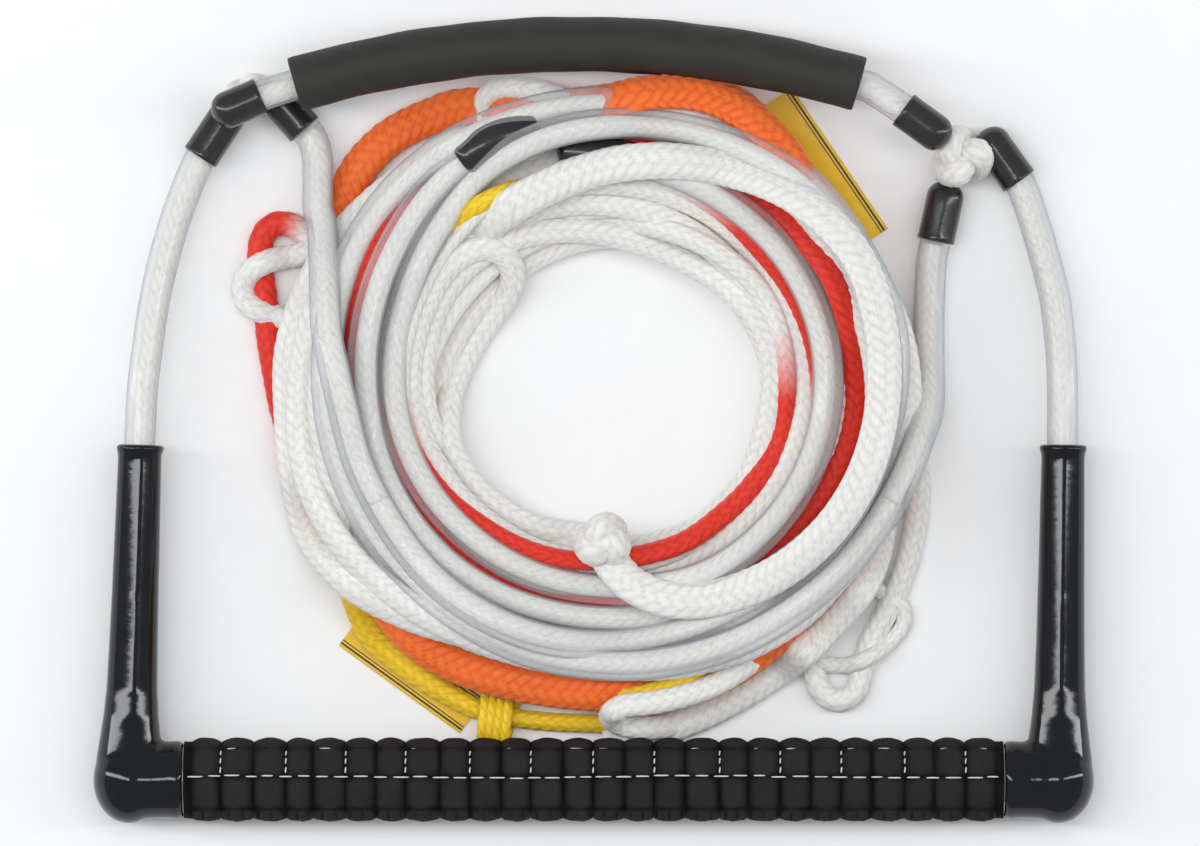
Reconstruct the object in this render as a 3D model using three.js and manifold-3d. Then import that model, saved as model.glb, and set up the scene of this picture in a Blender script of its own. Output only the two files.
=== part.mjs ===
// Water-ski tow handle with an arm guard. Its bridle tails and its sectioned tow line are wound in a
// coil that lies inside the handle. Everything lies flat: X runs along the grip, Y from the grip to
// the arm guard, Z up from the surface. Millimetres.
import * as THREE from 'three';
import { mergeVertices } from 'three/addons/utils/BufferGeometryUtils.js';
import Module from 'manifold-3d';

const wasm = await Module();
wasm.setup();

// ---- Driving dimensions ----
const GAP = 0.3; // between touching pieces
const ROUND = 10; // sides of a rope or tube
const TURNED = 18; // sides of a turned piece

const ROPE_RADIUS = 4;
const VINYL_OUTER = 5.15;
const VINYL_INNER = 4.35;

// Grip: an aluminium bar, foam filled, in a padded cover between two dipped boots.
const BAR = { y: -118.2, z: 13.8, outer: 11, inner: 9.5, half: 142.5 };
const UNDERLAY_OUTER = 12.1;
const COVER = { inner: 12.4, outer: 13.25, half: 134.9 };
const PLUG = { spigot: 8, flange: 1.7 };
const NECK = { start: 135.2, radius: 12.4 };
const ELBOW = { x: 153.2, halfWidth: 11.8, radius: 14.35 };
const BEND_X = 152.8; // where the rope's bend meets the boot's leg
const BEND_RADIUS = 8;
const BOOT_TOP = 110.6; // mouth of a boot above the bar's axis
const TUBE_SEAT = 11.2; // where the vinyl tube stands in the boot
const LIP = 0.8;
// Radius of a boot's leg against its height above the bar's axis.
const BOOT_PROFILE = [[11.7, 0], [10.4, 12], [9, 22.7], [8.3, 32], [7.8, 60], [7, BOOT_TOP - 2 * LIP]];

// Bridle: it folds about a line through both boots' mouths.
const PIVOT = { y: -2, z: 13.8 };
const SLEEVE = { inner: VINYL_OUTER + GAP, outer: 6.15 };

// Each side's own places. Sleeves run from their mouth to the centre of their rounded end.
const SIDES = [
  {
    name: 'left',
    sign: -1,
    mouthX: -149.5,
    leg: [
      [-149.4, -2, 13.8], [-148.8, 10, 13.7], [-147.2, 23.5, 13.2], [-144.8, 40, 12.3],
      [-141.1, 56.4, 11.2], [-136.2, 72, 10.3], [-129.9, 87.2, 9.8], [-123.9, 96.4, 9.8],
    ],
    legSleeve: [[-129.9, 87.2, 9.8], [-121.1, 100.6, 9.8]],
    tailSleeve: [[-95.5, 96.5, 6.5], [-103.5, 105.4, 6.5]],
    knot: { at: [-113.5, 107.8, 6.6], half: [8.3, 7.3, 6.3] },
  },
  {
    name: 'right',
    sign: 1,
    mouthX: 154.8,
    leg: [
      [154.6, -2, 13.8], [154.6, 10, 13.6], [154.1, 23.5, 12.9], [152.1, 41, 11],
      [148.6, 55.4, 9.2], [144.9, 68, 7.6], [140.6, 79.4, 6.5], [134.2, 88.4, 6.5],
    ],
    legSleeve: [[140.6, 79.4, 6.5], [131.6, 92, 6.5]],
    tailSleeve: [[113, 59.6, 6.5], [116.2, 74.3, 6.5]],
    knot: { at: [121.3, 87.1, 11.1], half: [10.5, 10, 10.8] },
  },
];

// Arm guard: its tube follows one arc between the sleeves, and bends down towards the right one.
const GUARD = { x: -5.1, y: -205.95, z: 22.5, radius: 330 };
const GUARD_LEFT = { mouth: [-109.4, 107.1, 0], end: [-120.4, 102.4, 0] };
const GUARD_RIGHT = { mouth: [101.8, 102.6, 0], end: [112.4, 94.9, 0] };
const GUARD_BEND = [94.9, 107, 0];
const FLOAT = { from: -16.39, to: 16.27, inner: 5.6, outer: 9.05, steps: 9 };

// Coil of the tow line: one mound of turns, cut in the layers that each section fills.
const COIL = { x: 3.8, y: 7, mid: 75.5, halfWidth: 26, waist: 17, height: 45, power: 2.6, sides: 36 };
const LAYERS = [0, 20.5, 28.2, 34.6, COIL.height]; // heights between the layers
const ORANGE_EDGE = 77; // radius between the orange and the yellow section
const LINE_RADIUS = 3.5;

const COLOURS = {
  aluminium: [0xc4c6c9, 0.35, 1],
  foam: [0xe8e6e0, 0.9, 0],
  rope: [0xf2f1ec, 0.85, 0],
  redRope: [0xe8342a, 0.8, 0],
  orangeRope: [0xf26a26, 0.8, 0],
  yellowRope: [0xf4cf1b, 0.8, 0],
  vinyl: [0xe4e4e0, 0.15, 0],
  pvc: [0x11131a, 0.12, 0],
  nylon: [0x2b2b2d, 0.5, 0],
  underlay: [0x1c1c1e, 0.9, 0],
  suede: [0x19181a, 0.95, 0],
  eva: [0x2f2f2c, 0.75, 0],
  label: [0xf2c51c, 0.45, 0],
};

// ---- Building blocks ----
const point = ([x, y, z]) => new THREE.Vector3(x, y, z);

// A curve whose even steps fall on its own points.
class PointPath extends THREE.CatmullRomCurve3 {
  getPointAt(u, target) {
    return this.getPoint(u, target);
  }

  getTangentAt(u, target) {
    return this.getTangent(u, target);
  }
}

// A round rope, or a tube if it has an inner radius, swept through a list of points.
function swept(points, outer, inner = 0) {
  const section = new THREE.Shape().absarc(0, 0, outer, 0, 2 * Math.PI, false);
  if (inner > 0) section.holes.push(new THREE.Path().absarc(0, 0, inner, 0, 2 * Math.PI, true));
  const extrudePath = new PointPath(points.map(point));
  const steps = points.length - 1;
  return new THREE.ExtrudeGeometry(section, { steps, extrudePath, curveSegments: ROUND / 2 });
}

function turned(profile, sides = TURNED) {
  return new THREE.LatheGeometry(profile.map(([r, h]) => new THREE.Vector2(r, h)), sides);
}

// A straight pipe about Y, centred on the origin.
function pipe(inner, outer, half) {
  return turned([[inner, -half], [outer, -half], [outer, half], [inner, half], [inner, -half]]);
}

function quarterArc(radius, centreHeight, steps = 4) {
  return Array.from({ length: steps + 1 }, (_, i) => {
    const angle = (i / steps) * (Math.PI / 2);
    return [i === steps ? 0 : radius * Math.cos(angle), centreHeight + radius * Math.sin(angle)];
  });
}

// A dipped sleeve about Y: open mouth at 0, rounded end centred at the given length.
function sleeveShape(length) {
  const floor = length - 1;
  const bore = [[0, floor], [SLEEVE.inner, floor], [SLEEVE.inner, 0]];
  return turned([...bore, [SLEEVE.outer, 0], ...quarterArc(SLEEVE.outer, length)]);
}

function ellipsoid(centre, half, sides = 14) {
  const shape = new THREE.SphereGeometry(1, sides, 10);
  return shape.scale(...half).translate(...centre);
}

function solid(geometry) {
  const bare = geometry.clone();
  bare.deleteAttribute('normal');
  bare.deleteAttribute('uv');
  const merged = mergeVertices(bare, 1e-4);
  const mesh = new wasm.Mesh({
    numProp: 3,
    vertProperties: merged.attributes.position.array,
    triVerts: new Uint32Array(merged.index.array),
  });
  return new wasm.Manifold(mesh);
}

function combine(bodies, cuts = []) {
  const whole = bodies.map(solid).reduce((sum, body) => sum.add(body));
  const mesh = cuts.map(solid).reduce((rest, cut) => rest.subtract(cut), whole).getMesh();
  const geometry = new THREE.BufferGeometry();
  geometry.setAttribute('position', new THREE.BufferAttribute(mesh.vertProperties, 3));
  geometry.setIndex(new THREE.BufferAttribute(mesh.triVerts, 1));
  return geometry;
}

function mesh(name, geometry, look) {
  const [color, roughness, metalness] = COLOURS[look];
  const piece = new THREE.Mesh(geometry, new THREE.MeshStandardMaterial({ color, roughness, metalness }));
  piece.name = name;
  return piece;
}

// Turns a piece made about Y so that it starts at one point and runs towards another.
function along(piece, from, to) {
  const start = point(from);
  const direction = point(to).sub(start).normalize();
  piece.quaternion.setFromUnitVectors(new THREE.Vector3(0, 1, 0), direction);
  piece.position.copy(start);
  return piece;
}

function between(from, to, share) {
  return point(from).lerp(point(to), share).toArray();
}

const distance = (from, to) => point(from).distanceTo(point(to));

// ---- Grip: its group's origin is the middle of the bar ----
const legTop = (side) => [side.mouthX, BOOT_TOP, 0];
const legFoot = (side) => [side.sign * BEND_X, BEND_RADIUS, 0];

// A point on a boot's leg axis at a height above the bar's axis.
function onLeg(side, height) {
  return between(legFoot(side), legTop(side), (height - BEND_RADIUS) / (BOOT_TOP - BEND_RADIUS));
}

// The rope's way from a boot's mouth round the elbow and into the bar.
function elbowRoute(side, top) {
  const corner = [0, 1, 2, 3, 4].map((i) => {
    const angle = (i / 4) * (Math.PI / 2);
    const inward = BEND_RADIUS * (1 - Math.cos(angle));
    return [side.sign * (BEND_X - inward), BEND_RADIUS * (1 - Math.sin(angle)), 0];
  });
  const inBar = side.sign * (BAR.half - PLUG.spigot);
  return [onLeg(side, top), onLeg(side, (top + BEND_RADIUS) / 2), ...corner, [inBar, 0, 0]];
}

function bootShape(side) {
  const profile = [...BOOT_PROFILE, [7 - LIP / 3, BOOT_TOP - LIP / 2], [7 - LIP, BOOT_TOP]];
  const leg = turned([[0, 0], ...profile, [0, BOOT_TOP]]);
  const foot = [side.sign * BEND_X, 0, 0];
  const lean = point(legTop(side)).sub(point(foot)).normalize();
  const upright = new THREE.Quaternion().setFromUnitVectors(new THREE.Vector3(0, 1, 0), lean);
  leg.applyQuaternion(upright).translate(...foot);
  const elbow = ellipsoid([side.sign * ELBOW.x, 0, 0], [ELBOW.halfWidth, ELBOW.radius, ELBOW.radius], TURNED);
  const neckLength = ELBOW.x - NECK.start;
  const neck = new THREE.CylinderGeometry(NECK.radius, NECK.radius, neckLength, TURNED);
  neck.rotateZ(Math.PI / 2).translate(side.sign * (NECK.start + neckLength / 2), 0, 0);

  const barEnd = BAR.half + 2 * GAP + PLUG.flange;
  const barRoom = new THREE.CylinderGeometry(BAR.outer + GAP, BAR.outer + GAP, barEnd - NECK.start + 1, TURNED);
  barRoom.rotateZ(Math.PI / 2).translate((side.sign * (barEnd + NECK.start - 1)) / 2, 0, 0);
  const ropeRoom = swept(elbowRoute(side, BOOT_TOP), ROPE_RADIUS + GAP);
  const tubeRoom = swept([onLeg(side, TUBE_SEAT), onLeg(side, BOOT_TOP + 2)], VINYL_OUTER + GAP);
  const under = new THREE.BoxGeometry(60, 60, 10).translate(side.sign * ELBOW.x, 0, -BAR.z - 5);
  return combine([leg, elbow, neck], [barRoom, ropeRoom, tubeRoom, under]);
}

function endPlug(side) {
  const bore = ROPE_RADIUS + GAP;
  const spigot = BAR.inner - GAP;
  const shoulder = GAP;
  const top = shoulder + PLUG.flange;
  const profile = [
    [bore, -PLUG.spigot], [spigot, -PLUG.spigot], [spigot, shoulder], [BAR.outer, shoulder],
    [BAR.outer, top], [bore, top], [bore, -PLUG.spigot],
  ];
  const plug = mesh(`end_plug_${side.name}`, turned(profile), 'nylon');
  return along(plug, [side.sign * BAR.half, 0, 0], [side.sign * (BAR.half + 1), 0, 0]);
}

function grip() {
  const group = new THREE.Group();
  group.position.set(0, BAR.y, BAR.z);
  const pipes = [
    ['handle_bar', BAR.inner, BAR.outer, BAR.half, 'aluminium'],
    ['bar_float_core', ROPE_RADIUS + GAP, BAR.inner - GAP, BAR.half - PLUG.spigot - GAP, 'foam'],
    ['grip_underlay', BAR.outer + GAP, UNDERLAY_OUTER, COVER.half, 'underlay'],
    ['grip_cover', COVER.inner, COVER.outer, COVER.half, 'suede'],
  ];
  for (const [name, inner, outer, half, look] of pipes) {
    const piece = mesh(name, pipe(inner, outer, half), look);
    piece.rotation.z = Math.PI / 2;
    group.add(piece);
  }
  const ropeTop = BOOT_TOP - 2 * GAP;
  const [left, right] = SIDES.map((side) => elbowRoute(side, ropeTop));
  group.add(mesh('bar_rope', swept([...left, [0, 0, 0], ...right.reverse()], ROPE_RADIUS), 'rope'));
  for (const side of SIDES) {
    const stub = [onLeg(side, TUBE_SEAT + GAP), onLeg(side, ropeTop)];
    group.add(endPlug(side));
    group.add(mesh(`boot_${side.name}`, bootShape(side), 'pvc'));
    group.add(mesh(`tube_stub_${side.name}`, swept(stub, VINYL_OUTER, VINYL_INNER), 'vinyl'));
  }
  return group;
}

// ---- Bridle: its group's origin is on the fold axis ----
function sleeve(name, [mouth, end]) {
  return along(mesh(name, sleeveShape(distance(mouth, end)), 'pvc'), mouth, end);
}

// The room that a sleeve takes out of the knot beside it.
function sleeveRoom([mouth, end]) {
  const reach = (SLEEVE.outer + GAP) / Math.cos(Math.PI / ROUND);
  const ball = new THREE.SphereGeometry(reach, ROUND, ROUND).translate(...end);
  return [swept([mouth, end], reach), ball];
}

function knotShape(side, rooms) {
  return combine([ellipsoid(side.knot.at, side.knot.half)], rooms);
}

// A vinyl leg tube: a round end on the fold axis, and open above it.
function legTubeShape(side) {
  const ball = new THREE.SphereGeometry(VINYL_OUTER, ROUND, ROUND).translate(...side.leg[0]);
  return combine([swept(side.leg, VINYL_OUTER), ball], [swept(reachPast(side.leg, 1), VINYL_INNER)]);
}

// The same route with its last point moved on in its own direction.
function reachPast(points, length) {
  const [before, last] = points.slice(-2);
  const share = 1 + length / distance(before, last);
  return [...points.slice(0, -1), between(before, last, share)];
}

function bridle() {
  const group = new THREE.Group();
  group.position.set(0, PIVOT.y, PIVOT.z);
  const guardEnds = { left: GUARD_LEFT, right: GUARD_RIGHT };
  const local = ([x, y, z]) => [x, y - PIVOT.y, z - PIVOT.z];
  for (const given of SIDES) {
    const side = {
      ...given,
      leg: given.leg.map(local),
      legSleeve: given.legSleeve.map(local),
      tailSleeve: given.tailSleeve.map(local),
      knot: { at: local(given.knot.at), half: given.knot.half },
    };
    const { mouth, end } = guardEnds[side.name];
    const guardSleeve = [mouth, end].map(([x, y]) => local([x, y, GUARD.z]));
    const ropeLeg = [between(side.leg[0], side.leg[1], 0.05), ...side.leg.slice(1)];
    const [tailMouth, tailEnd] = side.tailSleeve;
    const stub = [tailMouth, between(tailMouth, tailEnd, 0.8)];
    const rooms = [side.legSleeve, side.tailSleeve, guardSleeve].flatMap(sleeveRoom);
    group.add(
      mesh(`leg_tube_${side.name}`, legTubeShape(side), 'vinyl'),
      mesh(`leg_rope_${side.name}`, swept(ropeLeg, ROPE_RADIUS), 'rope'),
      sleeve(`leg_sleeve_${side.name}`, side.legSleeve),
      sleeve(`tail_sleeve_${side.name}`, side.tailSleeve),
      mesh(`tail_tube_end_${side.name}`, swept(stub, VINYL_OUTER, VINYL_INNER), 'vinyl'),
      mesh(`tail_rope_end_${side.name}`, swept(stub, ROPE_RADIUS), 'rope'),
      mesh(`junction_knot_${side.name}`, knotShape(side, rooms), 'rope'),
    );
  }
  return group;
}

// ---- Arm guard and its foam float ----
function onGuardArc(degrees) {
  const angle = THREE.MathUtils.degToRad(degrees);
  return [GUARD.x + GUARD.radius * Math.sin(angle), GUARD.y + GUARD.radius * Math.cos(angle), 0];
}

function arcPoints(from, to, steps) {
  return Array.from({ length: steps + 1 }, (_, i) => onGuardArc(from + ((to - from) * i) / steps));
}

function armGuard() {
  const group = new THREE.Group();
  group.position.z = GUARD.z;
  const route = [
    between(GUARD_LEFT.mouth, GUARD_LEFT.end, 0.8), GUARD_LEFT.mouth,
    ...arcPoints(FLOAT.from - 1, FLOAT.to, FLOAT.steps),
    GUARD_BEND, GUARD_RIGHT.mouth, between(GUARD_RIGHT.mouth, GUARD_RIGHT.end, 0.8),
  ];
  group.add(
    mesh('guard_tube', swept(route, VINYL_OUTER, VINYL_INNER), 'vinyl'),
    mesh('guard_rope', swept(route, ROPE_RADIUS), 'rope'),
    sleeve('guard_sleeve_left', [GUARD_LEFT.mouth, GUARD_LEFT.end]),
    sleeve('guard_sleeve_right', [GUARD_RIGHT.mouth, GUARD_RIGHT.end]),
    mesh('guard_float', swept(arcPoints(FLOAT.from, FLOAT.to, FLOAT.steps), FLOAT.outer, FLOAT.inner), 'eva'),
  );
  return group;
}

// ---- Coil of the tow line: its group's origin is the middle of the coil on the surface ----
// Half the mound's width at a height: a rounded shape, fuller than an ellipse.
function halfWidthAt(height) {
  const { waist, power } = COIL;
  const reach = height < waist ? waist : COIL.height - waist;
  const share = Math.min(1, Math.abs(height - waist) / reach);
  return COIL.halfWidth * (1 - share ** power) ** (1 / power);
}

// One layer of the mound between two heights and two radii.
function layerShape(low, high, innermost, outermost) {
  const steps = Math.max(2, Math.round((high - low) / 4.5));
  const heights = Array.from({ length: steps + 1 }, (_, i) => low + ((high - low) * i) / steps);
  const outer = heights.map((h) => [Math.min(outermost, COIL.mid + halfWidthAt(h)), h]);
  const inner = heights.map((h) => [Math.max(innermost, COIL.mid - halfWidthAt(h)), h]).reverse();
  const ring = [...outer, ...inner].filter(([r, h], i, all) => {
    const [beforeR, beforeH] = all[(i + all.length - 1) % all.length];
    return Math.hypot(r - beforeR, h - beforeH) > 0.01;
  });
  return turned([...ring, ring[0]], COIL.sides);
}

function coil() {
  const group = new THREE.Group();
  group.position.set(COIL.x, COIL.y, 0);
  group.rotation.x = Math.PI / 2;
  const [floor, redFloor, middle, top, crest] = LAYERS;
  const widest = COIL.mid + COIL.halfWidth;
  const layers = [
    ['coil_main_section', floor, redFloor, 0, widest, 'rope'],
    ['coil_red_section', redFloor + GAP, middle, 0, widest, 'redRope'],
    ['coil_orange_section', middle + GAP, top, 0, ORANGE_EDGE, 'orangeRope'],
    ['coil_yellow_section', middle + GAP, top, ORANGE_EDGE + GAP, widest, 'yellowRope'],
    ['coil_bridle_tails', top + GAP, crest, 0, widest, 'vinyl'],
  ];
  for (const [name, low, high, innermost, outermost, look] of layers) {
    group.add(mesh(name, layerShape(low, high, innermost, outermost), look));
  }
  return group;
}

// ---- The stretches of cord that lie outside the coil ----
const TAIL_LEFT = [
  [-95, 95.95, 6.5], [-93.6, 94.4, 6.5], [-92, 91, 7.2], [-91.2, 86, 8.8], [-91.1, 81, 10.8],
  [-91, 76, 13], [-90.9, 70.5, 15.2], [-90.8, 65.5, 17],
];
const TAIL_RIGHT = [
  [112.87, 59, 6.5], [112, 55, 6.5], [111.4, 49, 6.3], [111, 40, 6.1], [110.8, 30.1, 6], [110.8, 20, 6],
  [110.8, 12, 6.2], [110.2, 4, 6.8], [109.4, -2.8, 7.6],
];
const RED_LOOP = [
  [-99.9, -6.1, 3.6], [-103.2, 4, 3.6], [-105.4, 15, 3.6], [-107.6, 28, 3.6], [-108.6, 40, 3.6],
  [-110, 50, 3.6], [-110.4, 58, 3.6], [-107.5, 64, 3.6], [-101.5, 65.4, 3.6],
];
const ORANGE_LOOP = [
  [-84.4, 66.5, 3.6], [-82.4, 74, 3.6], [-77.8, 83.2, 3.6], [-71.5, 90.6, 3.6],
  [-63.7, 96.4, 3.6], [-53, 101.2, 3.6], [-42, 104.3, 3.6],
];
const YELLOW_LOOP = [
  [-86, -64, 4.6], [-78, -73.5, 4.8], [-68.5, -82.5, 5.3], [-58.5, -90, 6.3], [-48, -95.3, 7.2],
  [-36, -98.3, 7.2], [-24, -99.8, 6], [-10, -100.4, 4.2], [3, -100.2, 3.6], [15.3, -99.4, 3.6],
];
const YELLOW_WRAP = { from: [-46, -95.9, 7.2], to: [-34, -98.6, 7.2], inner: 3.95, outer: 6.1 };
const WHITE_LOOP = [
  [78.8, -71.4, 3.6], [74, -79.4, 3.6], [73.4, -86.4, 3.6], [77, -91.8, 3.6], [83.4, -93, 3.6],
  [89, -89.4, 3.6], [92.2, -82, 3.6], [94, -73, 3.6], [96, -64, 3.6], [98.4, -55, 3.6],
];
const BOAT_KNOT = { at: [2.1, -41.2, 42.5], half: [7.6, 7.2, 7.2] };
const LABEL_THICKNESS = 0.6;
const LABEL_WIDTH = 15;
const LABELS = [
  { name: 'label_strip_upper', from: [65.5, 110.6], to: [97.4, 63.9] },
  { name: 'label_strip_lower', from: [-83.6, -71.6], to: [-45.8, -102.4] },
];

// A flat strip on the surface. Its outer long edge runs between two points.
function labelStrip({ name, from, to }) {
  const edge = new THREE.Vector2(...to).sub(new THREE.Vector2(...from));
  const strip = new THREE.BoxGeometry(edge.length(), LABEL_WIDTH, LABEL_THICKNESS);
  const towardsCoil = from[1] > 0 ? -1 : 1;
  strip.translate(edge.length() / 2, (towardsCoil * LABEL_WIDTH) / 2, LABEL_THICKNESS / 2);
  const piece = mesh(name, strip, 'label');
  piece.position.set(from[0], from[1], 0);
  piece.rotation.z = edge.angle();
  return piece;
}

function yellowWrap() {
  const { from, to, inner, outer } = YELLOW_WRAP;
  const half = distance(from, to) / 2;
  return along(mesh('yellow_wrap', pipe(inner, outer, half), 'yellowRope'), between(from, to, 0.5), to);
}

function looseCord() {
  const group = new THREE.Group();
  const runs = [
    ['tail_left', TAIL_LEFT, VINYL_OUTER, 'vinyl'],
    ['tail_right', TAIL_RIGHT, VINYL_OUTER, 'vinyl'],
    ['red_loop', RED_LOOP, LINE_RADIUS, 'redRope'],
    ['orange_loop', ORANGE_LOOP, LINE_RADIUS, 'orangeRope'],
    ['yellow_loop', YELLOW_LOOP, LINE_RADIUS, 'yellowRope'],
    ['white_loop', WHITE_LOOP, LINE_RADIUS, 'rope'],
  ];
  for (const [name, route, radius, look] of runs) group.add(mesh(name, swept(route, radius), look));
  group.add(yellowWrap(), ...LABELS.map(labelStrip));
  group.add(mesh('boat_end_knot', ellipsoid(BOAT_KNOT.at, BOAT_KNOT.half), 'rope'));
  return group;
}

const towHandle = new THREE.Group();
towHandle.add(grip(), bridle(), armGuard(), coil(), looseCord());
export default towHandle;
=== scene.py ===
"""Water-ski tow handle with an arm guard, its bridle tails and its coiled tow line.

X runs along the grip, Y from the grip to the arm guard, Z up from the surface. Tables of places are
in millimetres and become metres where they are used.
"""
import math

import bpy
import numpy as np
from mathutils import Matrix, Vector


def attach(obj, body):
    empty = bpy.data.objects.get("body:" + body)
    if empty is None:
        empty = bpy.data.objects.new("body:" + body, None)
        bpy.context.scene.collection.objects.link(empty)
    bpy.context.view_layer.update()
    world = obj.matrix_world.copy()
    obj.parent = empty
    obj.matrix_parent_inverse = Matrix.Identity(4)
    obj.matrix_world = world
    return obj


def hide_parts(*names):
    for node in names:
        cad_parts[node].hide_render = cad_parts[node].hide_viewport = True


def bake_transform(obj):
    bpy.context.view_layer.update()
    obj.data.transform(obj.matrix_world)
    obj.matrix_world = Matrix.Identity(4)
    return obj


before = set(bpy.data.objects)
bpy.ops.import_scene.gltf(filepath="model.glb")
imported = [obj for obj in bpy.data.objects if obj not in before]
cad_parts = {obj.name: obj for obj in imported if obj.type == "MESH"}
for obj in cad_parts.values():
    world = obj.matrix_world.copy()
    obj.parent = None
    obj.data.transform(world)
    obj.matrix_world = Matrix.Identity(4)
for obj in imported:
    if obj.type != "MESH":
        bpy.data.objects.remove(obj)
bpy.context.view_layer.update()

MM = 0.001
UPWARD = (0, 0, 1)
RNG = np.random.default_rng(7)

# ---- Driving sizes, in millimetres ----
COIL_CENTRE = np.array([3.8, 7.0])
RADIUS_SCALE = 0.988
VINYL_RADIUS = 5.15
ROPE_RADIUS = 3.5
BAR = {"y": -118.2, "z": 13.8}
BOOT_MOUTH = {"left": (-149.5, -7.6, 13.8), "right": (154.8, -7.6, 13.8)}
BOOT_PROFILE = [  # radius, height above the elbow
    (11.7, 0), (10.9, 8), (10.2, 13), (9.2, 21), (8.5, 30), (8.1, 45), (7.8, 62), (7.5, 85), (7.25, 104),
]
BOOT_LIP = [(7.2, -3.2), (7.45, -2.5), (7.9, -1.8), (8.05, -1.0), (7.9, -0.3), (7.3, 0)]  # from the top
BOOT_TOP = 110.6
ELBOW = {"x": 153.2, "half_width": 11.8, "radius": 14.35}
NECK = {"start": 135.2, "radius": 12.4}
COVER = {"half": 134.9, "cells": 26, "groove": 12.3, "least": 12.2}
SLEEVE_RADIUS = 6.15
GUARD = {"x": -5.1, "y": -205.95, "z": 22.5, "radius": 330.0}
FLOAT = {"from": -16.39, "to": 16.27, "inner": 5.6, "outer": 9.05}

# Each side's own places: the leg's route and the sleeves from their mouth to their rounded end's centre.
SIDES = {
    "left": {
        "leg": [
            (-149.4, -2, 13.8), (-148.8, 10, 13.7), (-147.2, 23.5, 13.2), (-144.8, 40, 12.3),
            (-141.1, 56.4, 11.2), (-136.2, 72, 10.3), (-129.9, 87.2, 9.8), (-123.9, 96.4, 9.8),
        ],
        "leg_sleeve": [(-129.9, 87.2, 9.8), (-121.1, 100.6, 9.8)],
        "tail_sleeve": [(-95.5, 96.5, 6.5), (-103.5, 105.4, 6.5)],
        "guard_sleeve": [(-109.4, 107.1, 22.5), (-120.4, 102.4, 22.5)],
        "knot": ((-113.5, 107.8, 6.6), (8.3, 7.3, 6.3)),
    },
    "right": {
        "leg": [
            (154.6, -2, 13.8), (154.6, 10, 13.6), (154.1, 23.5, 12.9), (152.1, 41, 11),
            (148.6, 55.4, 9.2), (144.9, 68, 7.6), (140.6, 79.4, 6.5), (134.2, 88.4, 6.5),
        ],
        "leg_sleeve": [(140.6, 79.4, 6.5), (131.6, 92, 6.5)],
        "tail_sleeve": [(113, 59.6, 6.5), (116.2, 74.3, 6.5)],
        "guard_sleeve": [(101.8, 102.6, 22.5), (112.4, 94.9, 22.5)],
        "knot": ((121.3, 87.1, 11.1), (10.5, 10, 10.8)),
    },
}

# ---- Where the line shows: (degrees round the coil from +X, radius) ----
def turns(start, step, *radii):
    """Rows of degrees and radius, the degrees a constant step apart."""
    return [(start + i * step, radius) for i, radius in enumerate(radii)]


# The white section's upper turns, wound clockwise, from the outside of the coil to its inside.
WHITE_OUTER = [
    *turns(300, -15, 93, 90, 88, 87.5, 90),
    (228, 97), (216, 105), (205, 109), (195, 107.5), (183, 106), (170, 107), (155, 105.5), (140, 102),
    (125, 98),
    *turns(105, -15, 95, 94, 94, 93.5, 94, 96, 100, 101, 100, 98, 97),
]
WHITE_SECOND = turns(
    -60, -15, 95, 91, 88, 88, 90, 94.5, 99.5, 102.5, 102, 101, 98.5, 94, 90, 87, 86, 88, 91, 92, 91, 91,
    91, 90, 88.5, 88,
)
WHITE_THIRD = turns(
    -420, -15, 86, 83, 81, 81.5, 83, 86, 90, 93.5, 94.5, 93.5, 91, 87, 83, 80, 79, 79.5, 81, 80, 79, 78,
    77, 75, 73, 71,
)
WHITE_FOURTH = turns(
    -780, -15, 69, 68, 67.5, 68, 69.5, 71, 73, 75, 77, 78, 78, 77, 75.5, 73.5, 72.5, 72, 71.5, 70, 68, 67,
    66, 64.5, 62.5, 60.5,
)
WHITE_FIFTH = turns(
    -1140, -15, 59, 58.5, 58.5, 59, 60.5, 62, 63.5, 66, 68, 69.5, 70.5, 70.5, 69, 67, 65.5, 64, 62.5, 61,
    59.5, 58, 56.5, 55.5, 54.5, 53.5,
)
WHITE_INNER = turns(
    -1500, -15, 52.5, 51, 50.5, 51, 52, 53.5, 55.5, 58, 60.5, 62.5, 64, 64, 62, 58.5, 55.5, 53.5, 53.5, 55,
    56.5, 57, 55, 54, 54.5, 55, 55, 54.5, 54, 54.5, 55.5, 57,
)
# An inner stretch that turns back on itself in a hooked bend.
WHITE_HOOK = [
    (205, 59.5), (195, 62), (180, 64.5), (165, 66.5), (150, 68), (139, 68.5), (130.5, 66), (125.5, 60.5),
    (125, 54.5), (129, 49.5), (137, 47.3), (150, 47.2), (165, 49), (180, 52), (195, 53.8), (210, 52.5),
    (225, 50.3), (240, 48.5), (253, 46.5), (262, 45),
]
# The doubled boat end, which lies over everything and ends in the knot.
WHITE_THICK = [
    *turns(135, -15, 70, 71, 73.5, 77.5, 82, 87.5, 92.5, 95.5, 94, 91.5, 89, 85.5, 81, 75.5),
    (-72, 69.5), (-82, 61.5), (-88, 54), (-92, 48),
]
RED_OUTER = turns(
    285, 15, 69.5, 70.5, 73, 77, 81, 83.5, 85, 86, 85, 82.5, 82.5, 87, 91.5, 93.8, 92.8, 90, 86, 79, 74.2,
    73.2, 72.6, 72, 71, 70,
)
RED_INNER = turns(
    645, 15, 68.5, 68.5, 69, 69.5, 70, 70.3, 71, 71.5, 71.5, 73.5, 75.5, 77, 77, 75.5, 73, 70.5, 68.5, 67,
    65, 61.5, 58, 56, 54.6, 53.2, 53, 54, 54.6, 56.8, 59, 59.8, 61.3, 63, 62.5, 61, 60, 61,
)
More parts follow.
